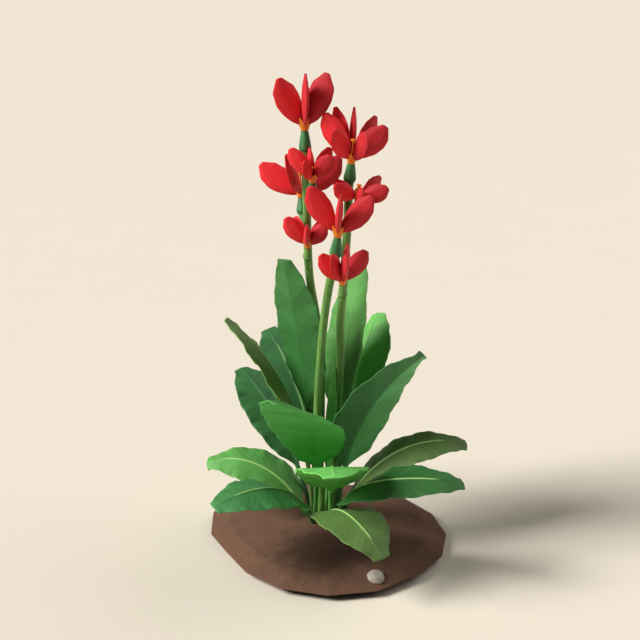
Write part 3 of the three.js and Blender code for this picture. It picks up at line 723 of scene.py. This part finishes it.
def petal_rings(bloom, azimuth, share_of_size, thickness):
    """The rings of one petal, a thick fin that runs outward in its own upright plane."""
    size, steps = bloom["size"] * share_of_size, PETAL["steps"]
    places = np.arange(steps + 1) / steps
    slope = 90 - bloom["splay"] - bloom["curl"] * (0.5 - places)
    strides = heading(azimuth, slope) * size / steps
    foot = np.array([0, 0, PETAL["foot"] * throat_scale(bloom)]) + heading(azimuth, 0) * PETAL["set"]
    centres = np.vstack([foot, foot + np.cumsum(strides[:-1], axis=0)])
    least = np.where(places < 0.5, PETAL["root"], PETAL["tip"])
    wide = np.maximum(size * bloom["width"] / 2 * swell(places, PETAL["widest"], 0.5), least)
    thick = np.maximum(thickness / 2 * swell(places, 0.5, 0.6), PETAL["edge"])
    v = np.linspace(0, 1, PETAL_STEPS)
    centre = np.stack([soft_corners(v, places, centres[:, k], EASE["petal_line"]) for k in range(3)], -1)
    centre[-1], centre[0] = centres[-1], centres[0]
    rise = 90 - bloom["splay"] - bloom["curl"] * (0.5 - v)
    out = heading(azimuth, rise - 90)
    sideways = heading(azimuth + 90, 0)
    outline = soft_corners(v, places, wide, EASE["petal_rim"])
    outline = outline * (1 + 0.012 * np.sin(21 * v + math.radians(azimuth) * 3))
    depth = soft_corners(v, places, thick, EASE["petal_depth"])
    corners = rounded_polygon(PETAL_RIM, 6, 1)
    rings = (centre[:, None] + (corners[None, :, :1] * outline[:, None, None]) * out[:, None]
             + (corners[None, :, 1:] * depth[:, None, None]) * sideways)
    tip = rings[-1].mean(axis=0)
    cap = tip + (rings[-1] - tip) * 0.55 + heading(azimuth, rise[-1]) * 0.0009
    points, faces = skin(np.concatenate([rings, cap[None]]))
    v = np.append(v, 1)
    # How far a petal points to the left, towards the key light; the petal finish paints shade where this is
    # low.
    west = 0.5 - 0.5 * math.cos(math.radians(azimuth + 20))
    return points, faces, {
        "across": np.concatenate([np.tile(corners[:, 0], len(v)), [0, 0]]),
        "share": np.concatenate([np.repeat(v, len(corners)), [0, 1]]),
        "west": np.full(len(points), west), "turn": np.full(len(points), math.radians(azimuth) * 2)}


def lathe(profile, around):
    """A closed turned form from [radius, height] points, with the axis left to the end caps."""
    turn = np.linspace(0, 2 * np.pi, around, endpoint=False)
    profile = np.array(profile)
    rings = np.stack([profile[:, :1] * np.cos(turn), profile[:, :1] * np.sin(turn),
                      np.repeat(profile[:, 1:], around, axis=1)], -1)
    return skin(rings)


def join_forms(forms):
    """One list of points, faces and facts from several forms."""
    points, faces, facts, start = [], [], {}, 0
    for form_points, form_faces, form_facts in forms:
        points.append(form_points)
        faces += [tuple(start + i for i in face) for face in form_faces]
        for key, values in form_facts.items():
            facts.setdefault(key, []).append(values)
        start += len(form_points)
    return np.concatenate(points), faces, {key: np.concatenate(values) for key, values in facts.items()}


def petals_piece(bloom, sizes, finish):
    """The petals of a bloom, held together by a small hub on the floor of its throat."""
    forms = [petal_rings(bloom, azimuth, share, sizes.thickness) for azimuth, share in bloom["petals"]]
    scale, foot = throat_scale(bloom), THROAT["floor"] + GAP
    top, radii = foot + HUB["height"] * scale, HUB["radii"]
    points, faces = lathe([(radii[0] * scale, foot), (radii[1] * scale, top - 0.004),
                           (radii[2], top - 0.0004), (radii[3], top)], 20)
    forms.append((points, faces, {fact: np.zeros(len(points)) for fact in forms[0][2]}))
    return set_on_stem(bloom, "_petal_ring", join_forms(forms), finish)


def set_on_stem(bloom, ending, form, finish):
    """A piece made upright round the middle of its bloom, then moved to its place on the stem."""
    points, faces, facts = form
    piece = make_piece(bloom["name"] + ending, points, faces, finish, facts)
    turn = Vector((0, 0, 1)).rotation_difference(bloom_axis(bloom)).to_matrix().to_4x4()
    piece.data.transform(Matrix.Translation(bloom["base"]) @ turn)
    return piece


def cup_form(bloom):
    """The cup: a thin wall whose rim dips under each petal and points up between two."""
    scale = throat_scale(bloom)
    turns = sorted(azimuth for azimuth, _ in bloom["petals"])
    places, heights = [], []
    for i, turn in enumerate(turns):
        after = turns[i + 1] if i + 1 < len(turns) else turns[0] + 360
        places += [turn, (turn + after) / 2]
        heights += [THROAT["valley"] * scale, THROAT["tooth"] * scale]
    places.append(turns[0] + 360)
    heights.append(heights[0])
    around = np.linspace(turns[0], turns[0] + 360, 96, endpoint=False)
    top = np.interp(around, places, heights)
    slope = (THROAT["rim"] - THROAT["foot"]) / THROAT["tooth"]
    ways = heading(around, 0)

    def ring(height, inset):
        flare = THROAT["flare"] * scale * (height / THROAT["tooth"]) ** 3
        radius = THROAT["foot"] * scale + slope * height + flare - inset
        return ways * radius[:, None] + np.array([0, 0, 1]) * height[:, None]

    flat = np.ones_like(top)
    low, floor = flat * GAP, flat * THROAT["floor"]
    steps = np.linspace(0, 1, 8)
    outer = [ring(low + (top - low) * t, 0) for t in steps]
    rim = [ring(top + 0.0003, THROAT["wall"] / 2)]
    inner = [ring(floor + (top - floor) * t, THROAT["wall"]) for t in steps[::-1]]
    return *skin(np.array(outer + rim + inner)), {}


def stamen_form(bloom):
    """The stamen, a slim rod that flares into a fluted cone with a low boss on its end."""
    foot, top = THROAT["floor"] - 0.001, bloom["size"] * STAMEN["reach"]
    rod, flare, length = STAMEN["radius"], STAMEN["flare"], STAMEN["length"]
    profile = [(rod * 1.5, foot), (rod, foot + 0.003), (rod * 0.9, top - length),
               (rod * 1.3, top - length * 0.8), (flare * 0.5, top - length * 0.5),
               (flare * 0.93, top - length * 0.08), (flare, top), (flare * 0.85, top + 0.0007),
               (flare * 0.4, top + 0.0012), (flare * 0.15, top + 0.0016)]
    points, faces = lathe(profile, 20)
    turn = np.arctan2(points[:, 1], points[:, 0])
    high = smoothstep(top - length * 0.7, top, points[:, 2])
    points[:, :2] *= (1 + 0.09 * high * np.cos(5 * turn))[:, None]
    return points, faces, {}


def throat_piece(bloom, finish):
    return set_on_stem(bloom, "_throat_cup", join_forms([cup_form(bloom), stamen_form(bloom)]), finish)


def ovary_form(bloom):
    """The swelling under a bloom, eight-sided with eased edges."""
    outline = rounded_polygon(heading(np.arange(8) * 45, 0)[:, :2], 5, 2)
    radii, depths = np.array(OVARY).T
    radii, depths = radii * throat_scale(bloom), depths * bloom["ovary"]
    v = np.linspace(depths[-1], 0, 22)
    radius = soft_corners(v, depths, radii, depths[-1] * EASE["ovary"])
    levels = np.repeat(v[:, None], len(outline), 1)[..., None]
    return *skin(np.concatenate([outline[None] * radius[:, None, None], -levels], -1)), {}


# ---- Geometry trees ----
def new_tree(name, **inputs):
    """A geometry tree with whole numbers and numbers as inputs, by their names and first values."""
    tree = bpy.data.node_groups.new(name, "GeometryNodeTree")
    for way in ("OUTPUT", "INPUT"):
        tree.interface.new_socket("Geometry", in_out=way, socket_type="NodeSocketGeometry")
    for key, value in inputs.items():
        kind = "NodeSocketInt" if isinstance(value, int) else "NodeSocketFloat"
        tree.interface.new_socket(key, in_out="INPUT", socket_type=kind).default_value = value
    graph = Graph(tree)
    start = tree.nodes.new("NodeGroupInput")
    return graph, {socket.name: Socket(graph, socket) for socket in start.outputs if socket.name}


def close_tree(graph, geometry_socket, finish):
    """Ends a tree in plain faces of one finish."""
    whole = graph.add("GeometryNodeRealizeInstances", {}, {"Geometry": geometry_socket})
    smooth = graph.add("GeometryNodeSetShadeSmooth", {}, {"Geometry": whole})
    done = graph.add("GeometryNodeSetMaterial", {}, {"Geometry": smooth, "Material": finish})
    graph.add("NodeGroupOutput", {}, {"Geometry": done})
    return graph.tree


def grown(piece, tree, **values):
    """Gives a piece the plain mesh that a tree makes of it."""
    modifier = piece.modifiers.new("grow", "NODES")
    modifier.node_group = tree
    for item in tree.interface.items_tree:
        if item.item_type == "SOCKET" and item.in_out == "INPUT" and item.name in values:
            modifier[item.identifier] = values[item.name]
    evaluated = piece.evaluated_get(bpy.context.evaluated_depsgraph_get())
    mesh = bpy.data.meshes.new_from_object(evaluated)
    mesh.name = piece.name
    piece.modifiers.clear()
    old, piece.data = piece.data, mesh
    bpy.data.meshes.remove(old)
    return piece


def stem_tree(finish):
    """Paths become round stems with shallow ridges, as thick as each path's point says."""
    graph, given = new_tree("Stems along paths", Sides=14, Ridge=0.0)
    path = graph.add("GeometryNodeMeshToCurve", {}, {"Mesh": given["Geometry"]})
    thick = graph.add("GeometryNodeInputNamedAttribute", {"data_type": "FLOAT"}, {"Name": "thick"})
    section = graph.add("GeometryNodeCurvePrimitiveCircle", {"mode": "RADIUS"},
                        {"Resolution": given["Sides"], "Radius": 1.0})
    turn = graph.add("GeometryNodeSplineParameter")
    lift = turn.math("SINE", turn * (2 * math.pi * RIDGES["count"])) * given["Ridge"]
    section = pushed(graph, section, lift)
    tube = graph.add("GeometryNodeCurveToMesh", {}, {"Curve": path, "Profile Curve": section,
                                                     "Scale": thick, "Fill Caps": True})
    return close_tree(graph, tube, finish)


def pushed(graph, form, share):
    """Moves each point of a form away from its middle by a share of the way there."""
    way = graph.add("ShaderNodeVectorMath", {"operation": "SCALE"},
                    {0: graph.add("GeometryNodeInputPosition"), "Scale": share})
    return graph.add("GeometryNodeSetPosition", {}, {"Geometry": form, "Offset": way})


def scatter_tree(name, finish, flatten):
    """Small uneven lumps spread by a fixed seed over the open faces of a ground, which stays."""
    graph, given = new_tree(name, Density=1000.0, Size=0.001, Seed=7)
    ground = given["Geometry"]
    bare = graph.add("GeometryNodeInputNamedAttribute", {"data_type": "BOOLEAN"}, {"Name": "open"})
    spread = graph.add("GeometryNodeDistributePointsOnFaces", {"distribute_method": "RANDOM"}, {
        "Mesh": ground, "Density": given["Density"], "Seed": given["Seed"], "Selection": bare})
    lump = graph.add("GeometryNodeMeshIcoSphere", {}, {"Radius": 1.0, "Subdivisions": 1})
    dent = graph.add("ShaderNodeTexNoise", {}, {"Scale": 1.3, "Detail": 1.0}, "Fac") - 0.5
    lump = pushed(graph, lump, dent * 0.8)
    size = random_number(graph, 0.35, 1.5, 3) * given["Size"]
    wide = size * random_number(graph, 0.8, 1.25, 4)
    placed = graph.add("GeometryNodeInstanceOnPoints", {}, {
        "Points": spread, "Instance": lump, "Scale": graph.vector(wide, size, size * flatten),
        "Rotation": Socket(graph, spread.link.node.outputs["Rotation"])})
    spin = graph.vector(0.0, 0.0, random_number(graph, 0.0, 6.28, 5))
    placed = graph.add("GeometryNodeRotateInstances", {}, {"Instances": placed, "Rotation": spin})
    both = graph.tree.nodes.new("GeometryNodeJoinGeometry")
    for part in (ground, placed):
        graph.tree.links.new(part.link, both.inputs[0])
    return close_tree(graph, Socket(graph, both.outputs[0]), finish)


def random_number(graph, low, high, seed):
    node = graph.add("FunctionNodeRandomValue", {"data_type": "FLOAT"}, {"Seed": seed}, "Value").link.node
    values = [s for s in node.inputs if s.name in ("Min", "Max") and s.type == "VALUE"]
    values[0].default_value, values[1].default_value = low, high
    return Socket(graph, next(s for s in node.outputs if s.type == "VALUE" and s.enabled))


# ---- Stems ----
def smooth_path(points, each=12):
    """A centripetal curve through the points."""
    points = [Vector(p) for p in points]
    ends = [points[0] * 2 - points[1], *points, points[-1] * 2 - points[-2]]
    path = []
    for i in range(1, len(ends) - 2):
        a, b, c, d = ends[i - 1:i + 3]
        gaps = [max(1e-5, math.sqrt((q - p).length)) for p, q in ((a, b), (b, c), (c, d))]
        for k in range(each):
            path.append(catmull_rom(a, b, c, d, gaps, k / each))
    return path + [points[-1]]


def catmull_rom(a, b, c, d, gaps, t):
    one, two, three = gaps
    start = (b - a) / one - (c - a) / (one + two) + (c - b) / two
    end = (c - b) / two - (d - b) / (two + three) + (d - c) / three
    start, end = start * two, end * two
    return (b + start * t + (3 * (c - b) - 2 * start - end) * t * t + (2 * (b - c) + start + end) * t ** 3)


def ovary_foot(bloom):
    """Where a stem ends under an ovary, and the lower end of its straight neck."""
    axis = bloom_axis(bloom)
    foot = Vector(bloom["base"]) - axis * (OVARY[-1][1] * bloom["ovary"] + GAP)
    return foot, foot - axis * NECK


def stem_paths(name, sizes):
    """The middle lines of a stem and its branches, each point with its thickness."""
    top, *others = [bloom for bloom in BLOOMS if bloom["stem"] == name]
    foot, below = ovary_foot(top)
    main = smooth_path([*STEMS[name], below, foot])
    count = len(main)
    paths = [[(p, sizes.foot + (sizes.top - sizes.foot) * i / count) for i, p in enumerate(main)]]
    for bloom in others:
        foot, below = ovary_foot(bloom)
        start = min(main, key=lambda p: abs(p.z - (foot.z - BRANCH["drop"])))
        line = smooth_path([start, start.lerp(below, 0.7), foot], 9)
        thin, wide = sizes.branch - BRANCH["thinner"], sizes.branch + BRANCH["thicker"]
        paths.append([(p, thin + (wide - thin) * i / len(line)) for i, p in enumerate(line)])
    return main, paths


def bract_form(main, height, azimuth, length):
    """A bract, a thin cupped scale that stands from the stem to a point."""
    foot = np.array(min(main, key=lambda p: abs(p.z - height)))
    outward, sideways = heading(azimuth, 0), heading(azimuth + 90, 0)
    lean = heading(azimuth, BRACT["rise"])
    away = np.cross(sideways, lean)
    arc = np.linspace(-1, 1, 9)
    rings = []
    for t in np.linspace(0, 1, 12):
        wide = length * BRACT["wide"] * (1 - t) ** 0.8 + BRACT["edge"]
        thick = BRACT["thick"] * (1 - t) + BRACT["edge"]
        middle = foot + outward * BRACT["out"] + lean * length * (t - 0.5)
        outer = [middle + sideways * wide * a - away * (BRACT["cup"] * a * a * (1 - t)) for a in arc]
        inner = [p - away * thick * (1 - 0.5 * a * a) for p, a in zip(outer, arc)]
        rings.append(outer + inner[::-1])
    return *skin(np.array(rings)), {}


def stem_piece(name, sizes, finish, tree):
    main, paths = stem_paths(name, sizes)
    points, thick = zip(*(step for path in paths for step in path))
    edges, start = [], 0
    for path in paths:
        edges += [(start + i, start + i + 1) for i in range(len(path) - 1)]
        start += len(path)
    piece = make_piece("flower_stem_" + name + "_skin", points, [], finish, {"thick": thick}, edges)
    grown(piece, tree, Sides=sizes.sides, Ridge=RIDGES["height"])
    forms = [bract_form(main, *bract[1:]) for bract in BRACTS if bract[0] == name]
    return with_forms(piece, forms, finish)


# ---- Soil and pebble ----
def rim_radius(turn):
    """The mound's rim at a turn in degrees: straight between its corners."""
    count = len(RIM_RADII)
    step = 360 / count
    corners = np.array([heading(i * step, 0)[:2] * radius for i, radius in enumerate(RIM_RADII)])
    i = np.floor((turn % 360) / step).astype(int) % count
    a, b = corners[i], corners[(i + 1) % count]
    side = b - a
    way = heading(turn, 0)[:, :2]
    return (a[:, 0] * side[:, 1] - a[:, 1] * side[:, 0]) / (way[:, 0] * side[:, 1] - way[:, 1] * side[:, 0])


def soft_rim(turn):
    """The rim with its corners eased."""
    return np.mean([rim_radius(turn + shift) for shift in (-0.8, -0.4, 0, 0.4, 0.8)], axis=0)


def mound_rings():
    """The rings of the mound, from under its foot over the bevel of its rim to the middle of its crown."""
    turn = np.linspace(0, 360, 320, endpoint=False)
    ways, rim = heading(turn, 0), soft_rim(turn)
    bevel = [(0.92 + 0.08 * t, 0.011 * t) for t in np.linspace(0, 1, 6)[1:]]
    places, heights = np.array(SOIL_RINGS[:1:-1]).T
    shares = np.concatenate([np.linspace(1, 0.84, 14)[1:], np.linspace(0.84, 0.03, 66)[1:]])
    top = list(zip(shares, soft_corners(shares, places, heights, EASE["soil"])))
    levels = [(0.3, 0.0), (0.92, 0.0)] + bevel + top
    return np.array([ways * (rim * share)[:, None] + np.array([0, 0, height]) for share, height in levels])


def uneven(points, height):
    """Gives the upper side of the soil a grain of waves and lumps."""
    noise.seed_set(11)
    for p in points:
        if p[2] > GRAIN["from"]:
            v = Vector(p)
            lump = noise.noise(v * 24) * 1.1 + noise.noise(v * 90) * 0.8 + noise.noise(v * 260) * 0.7
            p[2] += lump * height * min(1.0, (p[2] - GRAIN["from"]) / GRAIN["fade"])


def mound_piece(sizes, finish):
    """The mound of soil. Its faces are flat at first, so that a crumb stands by the slant of its face."""
    points, faces = skin(mound_rings())
    uneven(points, sizes.grain)
    piece = with_forms(make_piece("soil_mound_earth", points, faces, finish), [], finish)
    piece.data.shade_flat()
    centres = np.empty(len(piece.data.polygons) * 3)
    piece.data.polygons.foreach_get("center", centres)
    x, y, z = centres.reshape(-1, 3).T
    stone = np.hypot(x - PEBBLE_PLACE[0], y - PEBBLE_PLACE[1])
    bare = (z > GRAIN["from"]) & (np.hypot(x, y) > GRAIN["crown"]) & (stone > GRAIN["pebble"])
    open_faces(piece, bare)
    tree = scatter_tree("Crumbs of soil", finish, 0.75)
    grown(piece, tree, Density=sizes.crumbs, Size=sizes.crumb, Seed=7)
    return finish_only(piece, finish)


def open_faces(piece, bare):
    """Says for each face whether lumps may stand on it."""
    piece.data.attributes.new("open", "BOOLEAN", "FACE").data.foreach_set("value", bare)


def pebble_piece(finish):
    """The pebble's plain solid with worn edges and a slightly rough skin."""
    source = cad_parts["pebble"]
    mesh = bpy.data.meshes.new("pebble_stone")
    work = bmesh.new()
    work.from_mesh(source.data)
    bmesh.ops.remove_doubles(work, verts=work.verts, dist=1e-5)
    bmesh.ops.transform(work, matrix=source.matrix_world, verts=work.verts)
    bmesh.ops.dissolve_limit(work, angle_limit=math.radians(1), verts=work.verts, edges=work.edges)
    bmesh.ops.bevel(work, geom=list(work.edges), offset=PEBBLE["bevel"], segments=2, profile=0.6,
                    affect="EDGES", clamp_overlap=True)
    bmesh.ops.triangulate(work, faces=work.faces)
    bmesh.ops.subdivide_edges(work, edges=list(work.edges), cuts=1, use_grid_fill=True)
    noise.seed_set(5)
    for vert in work.verts:
        lump = noise.noise(vert.co * PEBBLE["fine"]) * PEBBLE["rough"]
        vert.co += vert.normal * (lump - PEBBLE["worn"])
    for face in work.faces:
        face.smooth = True
    bmesh.ops.recalc_face_normals(work, faces=work.faces)
    work.to_mesh(mesh)
    work.free()
    mesh.materials.append(finish)
    return link("pebble_stone", mesh)


# ---- Operators ----
class CannaOperator(bpy.types.Operator):
    bl_options = {"REGISTER", "UNDO"}


class CANNA_OT_leaves(CannaOperator):
    """Makes every leaf: stalk, veined blade and pale midrib"""
    bl_idname = "canna.leaves"
    bl_label = "Leaves"

    def execute(self, context):
        sizes = settings(context, "leaves")
        for index, leaf in enumerate(LEAVES):
            shade, light, bold, half = LEAF_LOOKS[leaf["name"]]
            # The lightness factor is partly the leaf's own tone and partly painted light and shade.
            green = toned(getattr(sizes, shade), light)
            finish = leaf_finish(leaf["name"] + "_" + shade, green, bold, half, sizes)
            declare(leaf_piece(leaf, index, sizes, finish), "leaf", leaf["name"])
        return {"FINISHED"}


class CANNA_OT_petals(CannaOperator):
    """Makes the red petals of every bloom"""
    bl_idname = "canna.petals"
    bl_label = "Petals"

    def execute(self, context):
        sizes = settings(context, "blooms")
        finish = petal_finish(sizes)
        for bloom in BLOOMS:
            declare(petals_piece(bloom, sizes, finish), "petal", bloom["name"] + "_petals")
        return {"FINISHED"}


class CANNA_OT_throats(CannaOperator):
    """Makes the orange throat and stamen of every bloom"""
    bl_idname = "canna.throats"
    bl_label = "Throats"

    def execute(self, context):
        finish = throat_finish(settings(context, "blooms"))
        for bloom in BLOOMS:
            declare(throat_piece(bloom, finish), "throat", bloom["name"] + "_throat")
        return {"FINISHED"}


class CANNA_OT_ovaries(CannaOperator):
    """Makes the warty green ovary under every bloom"""
    bl_idname = "canna.ovaries"
    bl_label = "Ovaries"

    def execute(self, context):
        sizes = settings(context, "blooms")
        greens = {"ovary_green": sizes.ovary, "ovary_young_green": settings(context, "stems").green}
        finishes = [stem_finish(name, green, 0.6) for name, green in greens.items()]
        trees = [scatter_tree("Warts of " + finish.name, finish, 0.6) for finish in finishes]
        for bloom in BLOOMS:
            young = bloom["ovary"] < 0.7
            piece = set_on_stem(bloom, "_ovary_pod", ovary_form(bloom), finishes[young])
            open_faces(piece, np.ones(len(piece.data.polygons), bool))
            grown(piece, trees[young], Density=sizes.warts, Size=sizes.wart, Seed=3)
            declare(with_forms(piece, [], finishes[young]), "ovary", bloom["name"] + "_ovary")
        return {"FINISHED"}


class CANNA_OT_stems(CannaOperator):
    """Makes the three flower stems with their branches and bracts"""
    bl_idname = "canna.stems"
    bl_label = "Flower stems"

    def execute(self, context):
        sizes = settings(context, "stems")
        finish = stem_finish("stem_green", sizes.green)
        tree = stem_tree(finish)
        for name in STEMS:
            declare(stem_piece(name, sizes, finish, tree), "stem", "flower_stem_" + name)
        return {"FINISHED"}


class CANNA_OT_soil(CannaOperator):
    """Makes the mound of soil with its crumbs"""
    bl_idname = "canna.soil"
    bl_label = "Soil"

    def execute(self, context):
        sizes = settings(context, "soil")
        declare(mound_piece(sizes, soil_finish(sizes)), "soil", "soil_mound")
        return {"FINISHED"}


class CANNA_OT_pebble(CannaOperator):
    """Makes the pebble in the soil"""
    bl_idname = "canna.pebble"
    bl_label = "Pebble"

    def execute(self, context):
        declare(pebble_piece(stone_finish(settings(context, "soil"))), "pebble", "pebble")
        return {"FINISHED"}


class CANNA_OT_stage(CannaOperator):
    """Makes the pale floor, the soft light and the camera"""
    bl_idname = "canna.stage"
    bl_label = "Stage"

    def execute(self, context):
        sizes = settings(context, "stage")
        add_floor(sizes)
        add_lights(context, sizes)
        add_camera(context)
        return {"FINISHED"}


def add_floor(sizes):
    reach, level = FLOOR["reach"], FLOOR["level"]
    corners = [(reach * x, reach * y, level) for x, y in ((-1, -1), (1, -1), (1, 1), (-1, 1))]
    floor = make_piece("studio_floor", corners, [(0, 1, 2, 3)], floor_finish(sizes.floor))


def add_lights(context, sizes):
    world = bpy.data.worlds.new("studio_air")
    world.use_nodes = True
    graph = Graph(world.node_tree)
    air = graph.add("ShaderNodeBackground", {}, {"Color": (1.0, 1.0, 1.0, 1.0), "Strength": sizes.fill})
    graph.add("ShaderNodeOutputWorld", {}, {"Surface": air})
    context.scene.world = world
    for name, strength, width, way, tint in LIGHTS:
        sun = bpy.data.lights.new(name, "SUN")
        sun.energy, sun.angle, sun.color = getattr(sizes, strength), math.radians(width), tint
        link(name, sun).rotation_euler = Vector(way).to_track_quat("-Z", "Y").to_euler()


def add_camera(context):
    data = bpy.data.cameras.new("camera")
    data.lens, data.sensor_width = CAMERA["lens"], CAMERA["sensor"]
    camera = link("camera", data)
    camera.location = CAMERA["place"]
    camera.rotation_euler = (math.radians(CAMERA["tilt"]), 0, 0)
    context.scene.camera = camera
    context.scene.view_settings.view_transform = "Standard"


OPERATORS = [CANNA_OT_stage, CANNA_OT_soil, CANNA_OT_pebble, CANNA_OT_stems, CANNA_OT_leaves,
             CANNA_OT_ovaries, CANNA_OT_throats, CANNA_OT_petals]


class CANNA_PT_panel(bpy.types.Panel):
    """Lists the parts of the canna lily and their settings"""
    bl_idname = "CANNA_PT_panel"
    bl_label = "Canna lily"
    bl_space_type = "VIEW_3D"
    bl_region_type = "UI"
    bl_category = "Canna"

    def draw(self, context):
        for operator in OPERATORS:
            self.layout.operator(operator.bl_idname)
        for name, group in GROUPS.items():
            box = self.layout.box()
            box.label(text=name.capitalize())
            for key in group.__annotations__:
                box.prop(settings(context, name), key)


def register():
    for group in GROUPS.values():
        bpy.utils.register_class(group)
    for name, group in GROUPS.items():
        setattr(bpy.types.Scene, "canna_" + name, bpy.props.PointerProperty(type=group))
    for operator in OPERATORS:
        bpy.utils.register_class(operator)
    bpy.utils.register_class(CANNA_PT_panel)


def unregister():
    bpy.utils.unregister_class(CANNA_PT_panel)
    for operator in reversed(OPERATORS):
        bpy.utils.unregister_class(operator)
    for name in GROUPS:
        delattr(bpy.types.Scene, "canna_" + name)
    for group in GROUPS.values():
        bpy.utils.unregister_class(group)


def main():
    register()
    for operator in OPERATORS:
        call = getattr(bpy.ops.canna, operator.bl_idname.split(".")[1])
        if call() != {"FINISHED"}:
            raise RuntimeError(operator.bl_label + " did not finish")
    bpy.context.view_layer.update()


if __name__ == "__main__":
    main()
